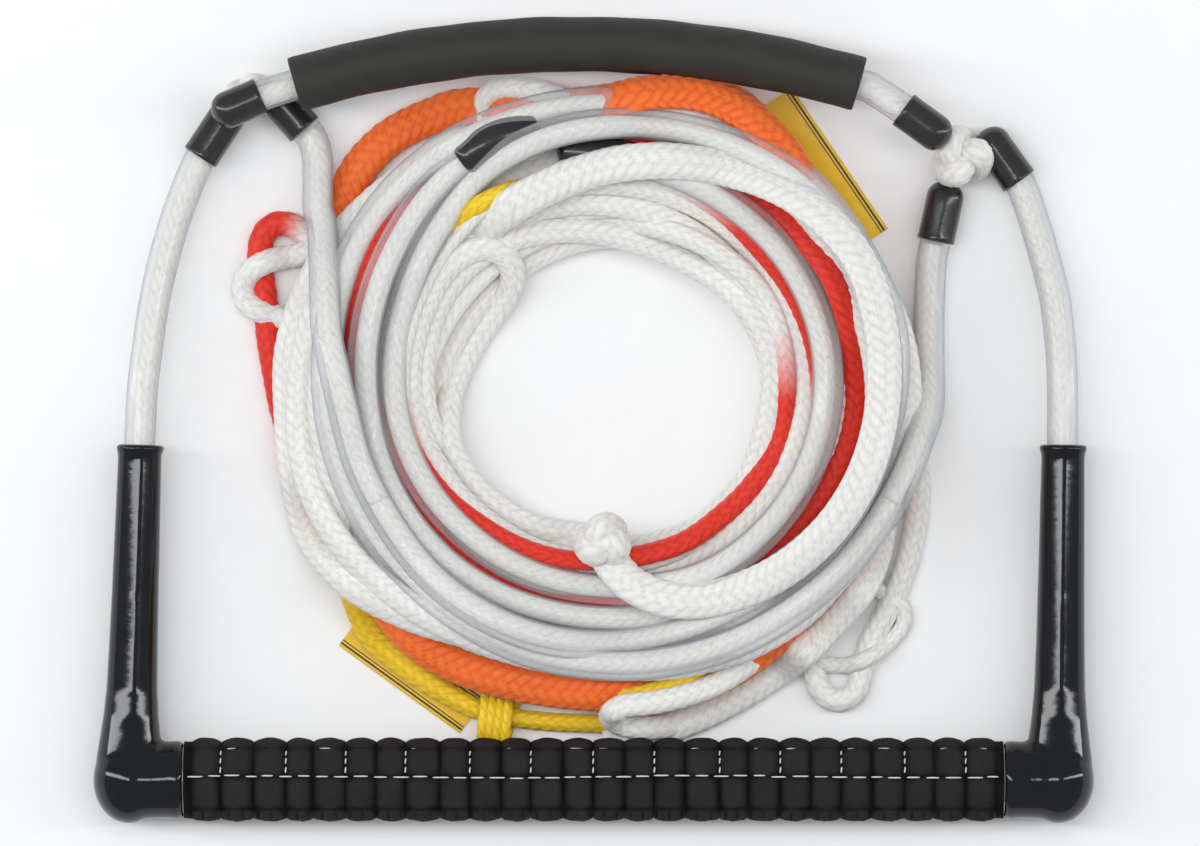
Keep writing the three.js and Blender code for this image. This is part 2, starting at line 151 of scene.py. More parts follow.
ORANGE_SHOWN = [
    (215, 99), (230, 102), (240, 101.5), (250, 99.5), (262, 98), (275, 98), (288, 99.5),
    *turns(300, 15, 98.5, 95, 94, 94, 94, 94, 95),
    (403, 97.5), (417.8, 103), (426, 108), (435, 106.8), (447, 100.5), (460, 99.5),
]
WHOLE = [(0, 1)]  # tinted from end to end
RED_INNER_TINT = [(0.17, 0.26), (0.57, 0.84)]
RED_INNER_WIDTHS = [2.8, 2.8, 2.8, 2.6, 2.4, 2.2, 2.4, 3.6, 3.8, 3.6, 3.6]
YELLOW_PATCH = turns(98, 7, 73.5, 74.8, 76, 77, 77.5, 77.2, 76)
ORANGE_BULGE = [
    *turns(38, 7, 90, 95, 100, 104, 106.3, 106.3, 104),
    (88, 100), (97, 95),
]
RED_LOOP_END = [(195, 102), (207, 97), (219, 95), (232, 91), (246, 87), (262, 83)]
YELLOW_TWIST = turns(264, 6, 99, 100, 99.8, 98.4, 96, 92.5, 88)
YELLOW_SHOWN = [
    (75, 71), (90, 72), (105, 74.5), (122, 77),
    *turns(135, 15, 80.5, 84, 87, 91, 95.5),
    (207, 100), (217, 105.5),
]

# ---- Where the loops lie on the surface, as in the CAD model ----
RED_LOOP = [
    (-99.9, -6.1), (-103.2, 4), (-105.4, 15), (-107.6, 28), (-108.6, 40), (-110, 50), (-110.4, 58),
    (-107.5, 64), (-101.5, 65.4),
]
ORANGE_LOOP = [
    (-84.4, 66.5), (-82.4, 74), (-77.8, 83.2), (-71.5, 90.6), (-63.7, 96.4), (-53, 101.2), (-42, 104.3),
]
YELLOW_LOOP = [
    (-73, -70.6), (-65, -78), (-56.8, -84.6), (-49, -89.6), (-42.4, -93.4), (-36, -96.2), (-24, -98.4),
    (-10, -99.6), (3, -100), (13, -100.4),
]
SMALL_LOOPS = [  # name, places, half width, half height
    ("loop_lower_right", [
        (86, -52), (79.5, -60), (74.6, -69.5), (72.8, -79), (74.4, -88), (80, -92.4), (86.4, -89.6),
        (89, -82), (91.5, -73), (97, -63), (101.5, -53), (104.5, -44), (106.6, -34), (107.6, -24),
        (107, -14), (105, -5),
    ], 3.9, 3.3),
    ("loop_lower_right_thin", [
        (88, -50), (96, -57), (102, -61), (102.6, -67), (98, -73), (91, -78), (84.4, -80.4), (76, -80),
        (68, -74), (62, -68),
    ], 2.7, 2.5),
    ("loop_lower_right_long", [
        (4, -107), (12, -104.8), (22, -102), (36, -96.8), (50, -89.5), (62, -81.5), (72, -73), (81.5, -63),
        (88.5, -54), (93, -44), (95, -34),
    ], 5.4, 3.2),
    ("loop_bulb", [
        (62, -71), (52, -79), (41, -86), (30, -90), (19, -92.4), (10, -93.4), (5.4, -96.6), (9, -100),
        (19, -101.2), (29, -99.6), (39, -95),
    ], 3.9, 2.9),
    ("loop_left", [
        (-80, 60), (-90, 57), (-98, 55), (-106, 53.5), (-113, 50), (-116, 45), (-114.8, 39.5),
        (-110, 36.4), (-103, 34), (-95, 30),
    ], 3.9, 3.1),
    ("loop_top", [
        (-33, 88), (-35.5, 98), (-36, 106), (-31, 110), (-22, 109.5), (-10, 106), (0, 98),
    ], 3.6, 3.0),
]
KNOT = (3.3, -39.4)

# ---- The tails: (degrees, radius) from the junction to the sleeve at their far end ----
TAIL_LEFT_TOP = [(-95, 95.95), (-93.6, 94.4), (-92, 91), (-91.2, 86), (-91.1, 81), (-91, 76), (-90.9, 70.5)]
TAIL_LEFT_TURNS = [
    (148.3, 111), (153, 105), (159, 99.5), (166, 95), (173, 90.5), (181, 87),
    *turns(
        195, 15, 84.3, 82.3, 82.2, 81.8, 81.6, 81.4, 81.2, 82, 84.5, 87.5, 90.5, 93, 95, 96.5, 97, 95.8,
        93.6, 91.6, 89.4, 86, 80, 75.8, 73.2, 70.8, 68.4, 66.2, 64.3, 63.2, 62.8, 63, 64.6, 67, 68.6, 70.2,
        72, 73.8, 75.5, 76.6, 77.2, 77.8, 79, 81.5,
    ),
    (818, 83.5),
]
TAIL_RIGHT_TOP = [
    (112.87, 59), (112, 55), (111.4, 49), (111, 40), (110.8, 30.1), (110.8, 20), (110.8, 12), (110.2, 4),
]
TAIL_RIGHT_TURNS = [
    (-5.3, 106), (-17, 101.5),
    *turns(
        -30, -15, 97.5, 94.2, 91.6, 89.4, 88, 87.2, 86.5, 87, 88.5, 90, 92, 94.5, 97.2, 99, 99.2, 99, 99.2,
        99.8, 100, 98.8, 97.8, 98, 95, 90, 85, 80, 76.5, 74.5, 73.5, 73.5, 74.5, 75.8, 77, 78.3, 80, 82.6,
        85.6, 89.5,
    ),
    (-597, 92.5), (-606, 94), (-614, 94.6),
]

# ---- The buried turns ----
# Each layer's number of turns, innermost radius and outermost radius, and the turns of each section.
BURIED_LAYERS = [(7, 54, 100), (6, 58, 96), (7, 54.5, 99.5), (6, 59, 95), (5, 63, 90)]
WHITE_BURIED = (0, 20.4)
RED_BURIED = (20.4, 26.6)
ORANGE_BURIED = (26.6, 29.3)
YELLOW_BURIED = (29.3, 31)


# ---- Lines ----
def around(sides):
    """Angles all the way round, one for each side."""
    return np.linspace(0, 2 * math.pi, sides, endpoint=False)


def unit(rows):
    return rows / np.linalg.norm(rows, axis=1, keepdims=True)


def way_along(line):
    """The distance of each point from the line's start."""
    return np.r_[0, np.cumsum(np.linalg.norm(np.diff(line, axis=0), axis=1))]


def even(line, step, columns=2):
    """The line again, with a point about every step along its first columns: 2 in plan, 3 in space."""
    lengths = way_along(line[:, :columns])
    places = np.linspace(0, lengths[-1], max(2, int(round(lengths[-1] / step))) + 1)
    return np.stack([np.interp(places, lengths, column) for column in line.T], axis=1)


def through(points, step):
    """A smooth line through the points."""
    points = np.asarray(points, float)
    padded = np.vstack([2 * points[0] - points[1], points, 2 * points[-1] - points[-2]])
    share = np.arange(16)[:, None] / 16
    pieces = []
    for a, b, c, d in zip(padded[:-3], padded[1:-2], padded[2:-1], padded[3:]):
        bend = (2 * a - 5 * b + 4 * c - d) * share**2 + (3 * b - a - 3 * c + d) * share**3
        pieces.append(0.5 * (2 * b + (c - a) * share + bend))
    return even(np.vstack([*pieces, points[-1:]]), step)


def round_coil(table):
    """The places of a table of degrees and radii."""
    degrees, radii = np.array(table, float).T
    radii = radii * RADIUS_SCALE
    angles = np.radians(degrees)
    return COIL_CENTRE + np.stack([np.cos(angles), np.sin(angles)], axis=1) * radii[:, None]


def buried_turns(span, way, end):
    """The places of the buried turns between two counts: layer on layer, out and back, in a slow spiral."""
    rows = [np.linspace(inner, outer, count) for count, inner, outer in BURIED_LAYERS]
    radii = np.concatenate([row if i % 2 == 0 else row[::-1] for i, row in enumerate(rows)])
    counts = np.linspace(*span, int((span[1] - span[0]) * 60))
    degrees = end + way * 360 * (counts - span[1])
    drift = 1.3 * np.sin(np.radians(2 * degrees + 60)) + 1.0 * np.sin(np.radians(3 * degrees + 200))
    wander = np.interp(counts, np.arange(40), RNG.normal(0, 0.5, 40))
    table = np.stack([degrees, np.interp(counts, np.arange(len(radii)), radii) + drift + wander], axis=1)
    return round_coil(table)


def eased(values, rounds):
    """Values smoothed along a line, with its ends kept."""
    values = np.array(values, float)
    for _ in range(rounds):
        values[1:-1] = 0.25 * values[:-2] + 0.5 * values[1:-1] + 0.25 * values[2:]
    return values


# ---- The pile: what lies on the surface so far, as heights on a grid of 1 mm ----
class Pile:
    """Lays one stretch after the other, each on what is already there. Millimetres.

    Half holds a rope's half width and half height at each point.
    """

    REACH = 150
    LOOK = 14  # points laid at a time
    STIFFNESS = 8  # rounds of smoothing along the rope
    FOOT = 0.66  # share of a rope's width that bears on what lies below

    def __init__(self):
        self.heights = np.zeros((2 * self.REACH, 2 * self.REACH))
        span = np.arange(-7, 8)
        self.offsets = np.array([(i, j) for i in span for j in span])

    def cells(self, line, half):
        """The grid's cells near each point, and how far the rope bulges above or below its axis there."""
        index = np.round(line).astype(int)[:, None, :] + self.offsets + self.REACH
        index = np.clip(index, 0, 2 * self.REACH - 1)
        away = np.linalg.norm(index - self.REACH - line[:, None, :], axis=2)
        share = np.clip(1 - (away / (self.FOOT * half[:, :1])) ** 2, 0, None)
        bulge = np.where(share > 0, half[:, 1:] * np.sqrt(share), -1e3)
        return (index[..., 0], index[..., 1]), bulge

    def needed(self, line, half, press):
        index, bulge = self.cells(line, half)
        return np.maximum((self.heights[index] + bulge).max(axis=1) - press, half[:, 1])

    def raise_to(self, line, z, half):
        index, bulge = self.cells(line, half)
        np.maximum.at(self.heights, index, z[:, None] + bulge)

    def lay(self, line, half_width, half_height, last=None, press=1.2):
        """The heights at which the line comes to rest. It ends at a given height if one is named."""
        count = len(line)
        half = np.stack([np.broadcast_to(half_width, count), np.broadcast_to(half_height, count)], axis=1)
        z = np.zeros(count)
        for start in range(0, count, self.LOOK):
            past, done, ahead = max(0, start - 2 * self.LOOK), start + self.LOOK, start + 4 * self.LOOK
            need = self.needed(line[start:ahead], half[start:ahead], press)
            if last is not None and ahead >= count:
                need[-1] = last
            run = np.concatenate([z[past:start], need])
            held = start - past
            for _ in range(self.STIFFNESS):
                run[held:] = np.maximum(need, eased(run, 1)[held:])
            z[start:done] = run[held:held + self.LOOK][:count - start]
            ready = slice(max(0, start - self.LOOK), start)
            self.raise_to(line[ready], z[ready], half[ready])
        tail = slice(max(0, count - 2 * self.LOOK), count)
        self.raise_to(line[tail], z[tail], half[tail])
        return z


# ---- Meshes ----
def new_mesh(name, vertices, faces, smooth=True):
    data = bpy.data.meshes.new(name)
    data.from_pydata([], [], [])
    vertices, faces = np.asarray(vertices, np.float32), np.asarray(faces, np.int32)
    data.vertices.add(len(vertices))
    data.vertices.foreach_set("co", vertices.ravel())
    data.loops.add(faces.size)
    data.loops.foreach_set("vertex_index", faces.ravel())
    data.polygons.add(len(faces))
    data.polygons.foreach_set("loop_start", np.arange(0, faces.size, faces.shape[1], dtype=np.int32))
    data.polygons.foreach_set("use_smooth", np.full(len(faces), smooth))
    data.update(calc_edges=True)
    data.validate()
    piece = bpy.data.objects.new(name, data)
    bpy.context.scene.collection.objects.link(piece)
    return piece


def tube_faces(rings, sides, closed=False):
    """Quads between neighbouring rings."""
    ring = np.arange(rings if closed else rings - 1)[:, None]
    side = np.arange(sides)[None, :]
    here, after = ring * sides, (ring + 1) % rings * sides
    turn = (side + 1) % sides
    return np.stack([here + side, here + turn, after + turn, after + side], axis=-1).reshape(-1, 4)


def cap_faces(rings, sides):
    """Quads that close both ends, each round its own middle point, which come after the rings."""
    first, last = rings * sides, rings * sides + 1
    side = np.arange(0, sides, 2)
    base = (rings - 1) * sides
    one, two = (side + 1) % sides, (side + 2) % sides
    start = np.stack([np.full_like(side, first), two, one, side], axis=1)
    end = np.stack([np.full_like(side, last), base + side, base + one, base + two], axis=1)
    return np.vstack([start, end])


def ring_mesh(name, spots):
    """A skin through rings of points in millimetres, open at both ends."""
    return new_mesh(name, spots.reshape(-1, 3) * MM, tube_faces(*spots.shape[:2]))


def swept(line, across, rise, up=UPWARD):
    """Rings of points round a line, at the given distances across it and above it."""
    up = np.broadcast_to(np.asarray(up, float), line.shape)
    along = unit(np.gradient(line, axis=0))
    high = unit(up - (up * along).sum(1, keepdims=True) * along)
    wide = np.cross(along, high)
    return line[:, None, :] + across[..., None] * wide[:, None, :] + rise[..., None] * high[:, None, :]


def braid_relief(distance, angle, yarns, lay):
    """How far yarns stand out, from 0 in a crease to 1 on a yarn: each passes over two and under two."""
    one = yarns * (angle / (2 * math.pi) - distance / lay)
    two = yarns * (angle / (2 * math.pi) + distance / lay)
    cell = np.mod(np.floor(one) + np.floor(two), 4)
    part_one, part_two = np.mod(one, 1), np.mod(two, 1)
    across = np.where(cell < 2, part_one, part_two)
    way = np.where(cell < 2, np.mod(cell, 2) + part_two, np.mod(cell, 2) + part_one) / 2
    return np.sin(math.pi * across) ** 0.7 * np.sin(math.pi * way) ** 0.45


def store(piece, name, kind, values):
    attribute = piece.data.attributes.new(name, kind, "POINT")
    key = "vector" if kind == "FLOAT_VECTOR" else "value"
    attribute.data.foreach_set(key, np.asarray(values, np.float32).ravel())


def rope_mesh(
    name, line, half_width, half_height, sides, up=UPWARD, relief=0.0, tint=0.0, yarns=8, lay=34.0,
):
    """A braided rope swept along a line in millimetres, with the attributes that its material reads."""
    count = len(line)
    widths, highs, relief, tint = [
        np.broadcast_to(value, count)[:, None] for value in (half_width, half_height, relief, tint)
    ]
    distance = way_along(line)[:, None]
    angle = around(sides)[None, :]
    raised = braid_relief(distance, angle, yarns, lay)
    across, rise = widths * np.cos(angle), highs * np.sin(angle)
    grow = 1 + relief * (raised - 0.6) / (0.5 * (widths + highs))
    spots = swept(line, across * grow, rise * grow, up)
    vertices = np.vstack([spots.reshape(-1, 3), line[[0, -1]]]) * MM
    piece = new_mesh(name, vertices, np.vstack([tube_faces(count, sides), cap_faces(count, sides)]))
    place = np.stack([np.broadcast_to(distance, across.shape), across, rise], axis=-1).reshape(-1, 3)
    place = np.vstack([place, [[distance[0, 0], 0, 0], [distance[-1, 0], 0, 0]]])
    store(piece, "rope_space", "FLOAT_VECTOR", place * MM)
    # The crease mask says where the material paints shade between the yarns.
    crease = np.where(relief > 0, 1 - raised, 0.25)
    store(piece, "crease", "FLOAT", np.r_[crease.ravel(), 0.5, 0.5])
    store(piece, "tint", "FLOAT", np.r_[np.repeat(tint, sides), tint[0], tint[-1]])
    return piece


def tube_mesh(name, line, radius, sides=28):
    """A plain round tube along a line in millimetres."""
    angle = around(sides)[None, :]
    radii = np.broadcast_to(radius, len(line))[:, None]
    return ring_mesh(name, swept(line, radii * np.cos(angle), radii * np.sin(angle)))


def circle_across(start, end, sides):
    """The direction from start to end, and a unit circle across it."""
    along = (end - start) / np.linalg.norm(end - start)
    side = np.cross(along, UPWARD)
    side /= np.linalg.norm(side)
    other = np.cross(side, along)
    angle = around(sides)
    return along, np.cos(angle)[:, None] * side + np.sin(angle)[:, None] * other


def turned_mesh(name, profile, start, end, sides=48):
    """A turned piece: the profile's radii and heights run from start towards end."""
    start, end = np.array(start, float), np.array(end, float)
    along, circle = circle_across(start, end, sides)
    radii, heights = np.array(profile, float).T
    spots = start + heights[:, None, None] * along + radii[:, None, None] * circle[None]
    return ring_mesh(name, spots)


def gathered(parts):
    """Several parts' points and faces as one."""
    firsts = np.cumsum([0] + [len(spots) for spots, _ in parts])
    faces = [quads + first for (_, quads), first in zip(parts, firsts)]
    return np.vstack([spots for spots, _ in parts]) * MM, np.vstack(faces)


# ---- Materials ----
def material(name, roughness=0.5, **inputs):
    made = bpy.data.materials.new(name)
    made.use_nodes = True
    shader = made.node_tree.nodes["Principled BSDF"]
    shader.inputs["Roughness"].default_value = roughness
    for key, value in inputs.items():
        shader.inputs[key.replace("_", " ")].default_value = value
    return made, shader


class Nodes:
    """Short calls for building a node tree."""

    def __init__(self, made):
        self.tree = made.node_tree

    def new(self, kind):
        return self.tree.nodes.new("ShaderNode" + kind)

    def link(self, value, socket):
        if isinstance(value, bpy.types.NodeSocket):
            self.tree.links.new(value, socket)
        else:
            socket.default_value = value

    def add(self, kind, output, *values, **named):
        """A new node's output, with its inputs set or linked in order or by name."""
        node = self.new(kind)
        for socket, value in zip(node.inputs, values):
            self.link(value, socket)
        for key, value in named.items():
            self.link(value, node.inputs[key])
        return node.outputs[output]

    def attribute(self, name, output="Fac"):
        node = self.new("Attribute")
        node.attribute_name = name
        return node.outputs[output]

    def place(self):
        return self.new("TexCoord").outputs["Object"]

    def scaled(self, vector, scale):
        return self.add("Mapping", "Vector", Vector=vector, Scale=scale)

    def noise(self, vector, detail=2.0, roughness=0.5):
        return self.add("TexNoise", "Fac", Vector=vector, Scale=1.0, Detail=detail, Roughness=roughness)

    def math(self, operation, *values):
        node = self.new("Math")
        node.operation = operation
        for socket, value in zip(node.inputs, values):
            self.link(value, socket)
        return node.outputs[0]

    def mix(self, share, one, two):
        node = self.new("Mix")
        node.data_type = "RGBA"
        for key, value in (("Factor", share), ("A", one), ("B", two)):
            self.link(value, node.inputs[key])
        return node.outputs["Result"]

    def spread(self, value, low, high, to_low=0.0, to_high=1.0):
        return self.add("MapRange", "Result", value, low, high, to_low, to_high)

    def bump(self, height, strength, distance):
        return self.add("Bump", "Normal", Height=height, Strength=strength, Distance=distance)


WHITE = (0.88, 0.868, 0.835, 1)
# Painted shade colour for the rope's creases, also the darker tone of its random patches.
WHITE_SHADE = (0.68, 0.645, 0.585, 1)


def rope_material(name, colour=None, shade=None):
    """Braided rope: long fibres along it, painted shade darkening its creases, and the section's colour where
    tint says.
    """
    made, shader = material(name, roughness=0.62, Sheen_Weight=0.15, Sheen_Roughness=0.5)
    n = Nodes(made)
    space = n.attribute("rope_space", "Vector")
    fibres = n.noise(n.scaled(space, (90, 2600, 2600)), detail=3.0, roughness=0.65)
    patches = n.noise(n.scaled(space, (22, 160, 160)))
    # Painted shade: the creases between yarns are darkened towards the shade colour, together with random
    # darker patches.
    crease = n.spread(n.attribute("crease"), 0.25, 0.95, 0.0, 0.75)
    patches_and_crease_shade = n.math("MULTIPLY_ADD", patches, 0.5, n.math("MULTIPLY", crease, 0.8))
    base = n.mix(n.spread(patches_and_crease_shade, 0.22, 0.95), WHITE, WHITE_SHADE)
    if colour:
        dyed_and_crease_shade = n.mix(n.spread(patches_and_crease_shade, 0.2, 1.0), colour, shade)
        base = n.mix(n.attribute("tint"), base, dyed_and_crease_shade)
    streaks = n.spread(fibres, 0.3, 0.7, 0.9, 1.06)
    tone = n.new("VectorMath")
    tone.operation = "SCALE"
    n.link(base, tone.inputs[0])
    n.link(streaks, tone.inputs["Scale"])
    n.link(tone.outputs[0], shader.inputs["Base Color"])
    n.link(n.spread(patches, 0.3, 0.7, 0.52, 0.72), shader.inputs["Roughness"])
    n.link(n.bump(fibres, 0.35, 0.0003), shader.inputs["Normal"])
    return made


def vinyl_material(name):
    """Clear tube: see-through face on, blue-grey and shiny towards its edges."""
    made, shader = material(name, roughness=0.07, IOR=1.5)
    n = Nodes(made)
    haze = n.noise(n.scaled(n.place(), (60, 60, 60)))
    n.link(n.spread(haze, 0.3, 0.7, 0.05, 0.11), shader.inputs["Roughness"])
    n.link(n.bump(haze, 0.2, 0.0008), shader.inputs["Normal"])
    facing = n.new("LayerWeight")
    facing.inputs["Blend"].default_value = 0.5
    edge = n.spread(facing.outputs["Facing"], 0.3, 0.85)
    n.link(n.mix(edge, (0.86, 0.87, 0.88, 1), (0.42, 0.46, 0.51, 1)), shader.inputs["Base Color"])
    share = n.math("MULTIPLY_ADD", edge, 0.42, n.spread(haze, 0.2, 0.8, 0.15, 0.27))
    clear = n.new("BsdfTransparent")
    n.link(n.mix(edge, (0.985, 0.985, 0.98, 1), (0.80, 0.83, 0.86, 1)), clear.inputs["Color"])
    mixed = n.new("MixShader")
    n.link(share, mixed.inputs[0])
    n.link(clear.outputs[0], mixed.inputs[1])
    n.link(shader.outputs[0], mixed.inputs[2])
    n.link(mixed.outputs[0], n.tree.nodes["Material Output"].inputs["Surface"])
    return made


def grained(name, one, two, roughness, scale, strength, distance, **inputs):
    """A moulded or woven surface: two tones and a bump of the same grain."""
    made, shader = material(name, roughness=roughness, **inputs)
    n = Nodes(made)
    grain = n.noise(n.scaled(n.place(), (scale,) * 3), detail=4.0, roughness=0.6)
    broad = n.noise(n.scaled(n.place(), (90,) * 3))
    blend = n.math("MULTIPLY_ADD", grain, 0.6, n.math("MULTIPLY", broad, 0.4))
    n.link(n.mix(n.spread(blend, 0.3, 0.7), one, two), shader.inputs["Base Color"])
    n.link(n.spread(broad, 0.3, 0.7, roughness * 0.9, min(1, roughness * 1.1)), shader.inputs["Roughness"])
    n.link(n.bump(grain, strength, distance), shader.inputs["Normal"])
    return made


def overlaid(made, share, colour):
    """The material with a colour laid over its own by a share."""
    n = Nodes(made)
    socket = n.tree.nodes["Principled BSDF"].inputs["Base Color"]
    n.link(n.mix(share, socket.links[0].from_socket, colour), socket)
    return made


def suede_material(name):
    """Napped black cloth, with painted shade down in the grooves of its quilting."""
    made = grained(name, (0.014, 0.0125, 0.013, 1), (0.034, 0.031, 0.032, 1), 0.95, 2600, 0.5, 0.0004,
                   Specular_IOR_Level=0.16)
    # Painted shade: near black laid over the nap down in the quilting's grooves.
    return overlaid(made, Nodes(made).attribute("crease"), (0.002, 0.002, 0.002, 1))


def label_material(name):
    """Yellow film with a dark double border along its edges."""
    made = grained(name, (0.90, 0.58, 0.025, 1), (0.78, 0.48, 0.015, 1), 0.42, 300, 0.08, 0.0002)
    n = Nodes(made)
    edge = n.attribute("from_edge")
    border = n.math("MAXIMUM", n.math("COMPARE", edge, 1.3, 0.35), n.math("COMPARE", edge, 2.4, 0.2))
    return overlaid(made, border, (0.035, 0.03, 0.02, 1))


MATERIALS = {
    "white": rope_material("white_rope"),
    "red": rope_material("red_rope", (0.86, 0.035, 0.012, 1), (0.50, 0.008, 0.004, 1)),
    "orange": rope_material("orange_rope", (0.98, 0.19, 0.022, 1), (0.72, 0.07, 0.008, 1)),
    "yellow": rope_material("yellow_rope", (0.95, 0.66, 0.02, 1), (0.70, 0.38, 0.004, 1)),
    "vinyl": vinyl_material("clear_vinyl"),
    "pvc": grained(
        "black_pvc", (0.003, 0.0035, 0.005, 1), (0.006, 0.007, 0.010, 1), 0.08, 400, 0.06, 0.0004,
        Specular_IOR_Level=0.4,
    ),
    "sleeve": grained(
        "black_sleeve", (0.012, 0.012, 0.013, 1), (0.022, 0.021, 0.020, 1), 0.24, 700, 0.1, 0.0003,
        Coat_Weight=0.25,
    ),
    "suede": suede_material("grip_suede"),
    "eva": grained(
        "eva_foam", (0.022, 0.022, 0.019, 1), (0.037, 0.036, 0.031, 1), 0.6, 3200, 0.3, 0.0003,
        Specular_IOR_Level=0.35,
    ),
    "thread": grained("white_thread", (0.75, 0.73, 0.70, 1), (0.55, 0.53, 0.50, 1), 0.7, 3000, 0.4, 0.0002),
    "plastic": grained("vinyl_end", (0.75, 0.76, 0.76, 1), (0.62, 0.63, 0.64, 1), 0.2, 500, 0.1, 0.0002),
    "label": label_material("label_film"),
    "aluminium": grained(
        "brushed_aluminium", (0.55, 0.56, 0.57, 1), (0.66, 0.67, 0.68, 1), 0.32, 1400, 0.15, 0.0001,
        Metallic=1.0,
    ),
    "nylon": grained("plug_nylon", (0.02, 0.02, 0.021, 1), (0.035, 0.035, 0.036, 1), 0.5, 1200, 0.2, 0.0002),
    "core": grained("float_core", (0.80, 0.79, 0.76, 1), (0.68, 0.67, 0.63, 1), 0.9, 1800, 0.5, 0.0004),
}


def finish_piece(piece, look, body, replaces=()):
    """Give a piece its material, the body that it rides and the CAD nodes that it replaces."""
    piece.data.materials.clear()
    piece.data.materials.append(MATERIALS[look])
    if body:
        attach(piece, body)
    if replaces:
        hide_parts(*replaces)
    return piece


# ---- Camera, floor and light ----
VIEW_CENTRE = (0.0021, -0.0005)
CAMERA_HEIGHT = 3.0
VIEW_WIDTH = 0.3948
OBJECT_PLANE = 0.02
SENSOR = 36.0


def make_camera():
    data = bpy.data.cameras.new("camera")
    data.sensor_width = SENSOR
    data.lens = SENSOR * (CAMERA_HEIGHT - OBJECT_PLANE) / VIEW_WIDTH
    camera = bpy.data.objects.new("camera", data)
    camera.location = (*VIEW_CENTRE, CAMERA_HEIGHT)
    bpy.context.scene.collection.objects.link(camera)
    bpy.context.scene.camera = camera


def area_light(name, place, size, power, colour=(1, 1, 1), shines=True):
    data = bpy.data.lights.new(name, "AREA")
    data.shape = "RECTANGLE"
    data.size, data.size_y = size
    data.energy = power
    data.color = colour
    light = bpy.data.objects.new(name, data)
    light.location = place
    light.rotation_euler = (-Vector(place)).to_track_quat("-Z", "Y").to_euler()
    light.visible_glossy = shines
    bpy.context.scene.collection.objects.link(light)


def make_studio():
    floor = new_mesh("floor", [(-4, -4, 0), (4, -4, 0), (4, 4, 0), (-4, 4, 0)], [(0, 1, 2, 3)])
    paper = grained("floor_paper", (0.93, 0.93, 0.925, 1), (0.95, 0.95, 0.945, 1), 0.9, 30, 0.05, 0.0005)
    floor.data.materials.append(paper)
    area_light("key_left", (-1.15, 0.15, 1.25), (0.2, 3.2), 19, (0.97, 0.985, 1.0))
    area_light("fill_right", (1.45, 0.1, 0.75), (0.11, 3.2), 12, (0.95, 0.975, 1.0))
    area_light("top", (0.1, 0.6, 3.4), (2.4, 1.6), 27, shines=False)
    world = bpy.data.worlds.new("studio")
    world.use_nodes = True
    world.node_tree.nodes["Background"].inputs["Color"].default_value = (0.93, 0.96, 1.0, 1)
    world.node_tree.nodes["Background"].inputs["Strength"].default_value = 0.42
    bpy.context.scene.world = world
    bpy.context.scene.view_settings.view_transform = "Standard"


make_camera()
make_studio()

# ---- The line ----
PILE = Pile()
BURIED_STEP = 2.2
SHOWN_STEP = 1.1
LAY_STEP = 2.0
BRIDGE_RADIUS = 80.0
JOINT_ROWS = 12
JOINT_ROUNDS = 24
SINK_REACH = 26.0
LOOP_SINK = 10.0
SETTLING = 36  # rounds of smoothing by which a laid strand settles among the others


def tinted(count, spans, fade=0.04):
    """1 within the spans, given as shares of the line, fading to 0 outside."""
    share = np.linspace(0, 1, count)
    values = np.zeros(count)
    for start, end in spans:
        values = np.maximum(values, np.clip(np.minimum(share - start, end - share) / fade + 1, 0, 1))
    return values


def soft_step(share):
    """0 to 1, level at both ends."""
    return share * share * (3 - 2 * share)


def sunk(z, half_height, first, last):
    """The heights again, with the line's ends led down among the strands below them."""
    way = np.arange(len(z)) * LAY_STEP
    for depth, distance in ((first, way), (last, way[::-1])):
        share = np.clip(1 - distance / SINK_REACH, 0, 1)
        z = np.maximum(z - depth * soft_step(share), half_height)
    return z


